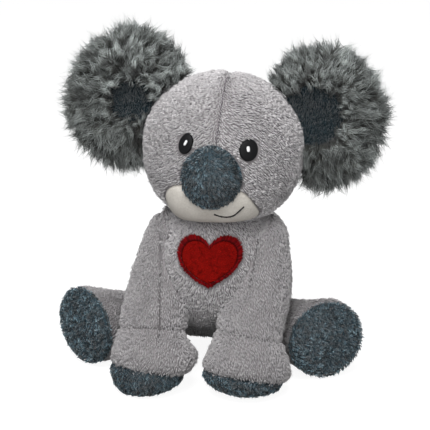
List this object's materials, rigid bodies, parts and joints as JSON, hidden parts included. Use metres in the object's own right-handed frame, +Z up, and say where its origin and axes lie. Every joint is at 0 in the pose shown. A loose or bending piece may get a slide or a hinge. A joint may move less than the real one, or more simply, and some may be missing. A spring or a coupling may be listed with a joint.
{
  "type": "plush koala",
  "caption": "Sitting soft toy koala, sewn from short-pile panels over fibre filling, with furry cupped ears, a large nose and a heart on the chest.",
  "frame": {"origin": "under the middle of the whole toy, on the surface that it sits on", "axes": "+Z up out of the crown of the head, -Y the way the koala faces, +X towards its own left ear"},
  "size_m": [0.176, 0.1358, 0.1843],
  "materials": {
    "plush": "short combed pile, matt",
    "dark_plush": "short slate-blue pile, matt",
    "cream_velour": "smooth velour, matt",
    "ear_fur": "long grey fur with darker roots",
    "red_felt": "felt, matt",
    "red_thread": "satin-stitch thread, low sheen",
    "black_thread": "satin-stitch thread, low sheen",
    "white_thread": "satin-stitch thread, low sheen",
    "fibre": "loose polyester fibre"
  },
  "bodies": {
    "torso": {"chest_panel": "plush", "back_panel_left": "plush", "back_panel_right": "plush", "torso_filling": "fibre", "heart_patch": "red_felt", "heart_border": "red_thread"},
    "neck": {"neck_seam": "plush"},
    "head": {"head_panel_left": "plush", "head_panel_right": "plush", "muzzle_panel": "cream_velour", "head_filling": "fibre", "nose_cover": "dark_plush", "nose_filling": "fibre", "eye_left": "black_thread", "eye_right": "black_thread", "eye_glint_left": "white_thread", "eye_glint_right": "white_thread", "mouth_stitch": "black_thread"},
    "ear_left": {"ear_back_left": "ear_fur", "ear_front_left": "ear_fur", "ear_patch_left": "dark_plush", "ear_filling_left": "fibre"},
    "ear_right": {"ear_back_right": "ear_fur", "ear_front_right": "ear_fur", "ear_patch_right": "dark_plush", "ear_filling_right": "fibre"},
    "arm_left": {"sleeve_outer_left": "plush", "sleeve_inner_left": "plush", "paw_cuff_left": "plush", "paw_pad_left": "dark_plush", "arm_filling_left": "fibre"},
    "arm_right": {"sleeve_outer_right": "plush", "sleeve_inner_right": "plush", "paw_cuff_right": "plush", "paw_pad_right": "dark_plush", "arm_filling_right": "fibre"},
    "leg_left": {"leg_skin_left": "plush", "foot_sole_left": "dark_plush", "leg_filling_left": "fibre"},
    "leg_right": {"leg_skin_right": "plush", "foot_sole_right": "dark_plush", "leg_filling_right": "fibre"}
  },
  "joints": [
    {"name": "head_turn", "type": "hinge", "parent": "torso", "child": "neck", "pos_m": [-0.00222, 0.00003, 0.057], "axis": [0, 0, 1], "range_deg": [-18, 18], "stiffness_Nm_per_rad": 1},
    {"name": "head_nod", "type": "hinge", "parent": "neck", "child": "head", "pos_m": [-0.00222, 0.00003, 0.057], "axis": [1, 0, 0], "range_deg": [-10, 6], "stiffness_Nm_per_rad": 1.5},
    {"name": "ear_fold_left", "type": "hinge", "parent": "head", "child": "ear_left", "pos_m": [0.03547, 0.0048, 0.14091], "axis": [0.075, 0, 0.9972], "range_deg": [-12, 12], "stiffness_Nm_per_rad": 0.06},
    {"name": "ear_fold_right", "type": "hinge", "parent": "head", "child": "ear_right", "pos_m": [-0.02713, 0.00326, 0.14562], "axis": [0.075, 0, 0.9972], "range_deg": [-12, 12], "stiffness_Nm_per_rad": 0.06},
    {"name": "arm_swing_left", "type": "hinge", "parent": "torso", "child": "arm_left", "pos_m": [-0.00222, 0.00003, 0.057], "axis": [-1, 0, 0], "range_deg": [0, 15], "stiffness_Nm_per_rad": 0.8},
    {"name": "arm_swing_right", "type": "hinge", "parent": "torso", "child": "arm_right", "pos_m": [-0.00222, 0.00003, 0.057], "axis": [-1, 0, 0], "range_deg": [0, 15], "stiffness_Nm_per_rad": 0.8},
    {"name": "leg_lift_left", "type": "hinge", "parent": "torso", "child": "leg_left", "pos_m": [0.03108, 0.03203, 0.013], "axis": [-1, 0, 0], "range_deg": [-4, 12], "stiffness_Nm_per_rad": 0.5},
    {"name": "leg_lift_right", "type": "hinge", "parent": "torso", "child": "leg_right", "pos_m": [-0.03552, 0.03203, 0.013], "axis": [-1, 0, 0], "range_deg": [-4, 12], "stiffness_Nm_per_rad": 0.5}
  ]
}
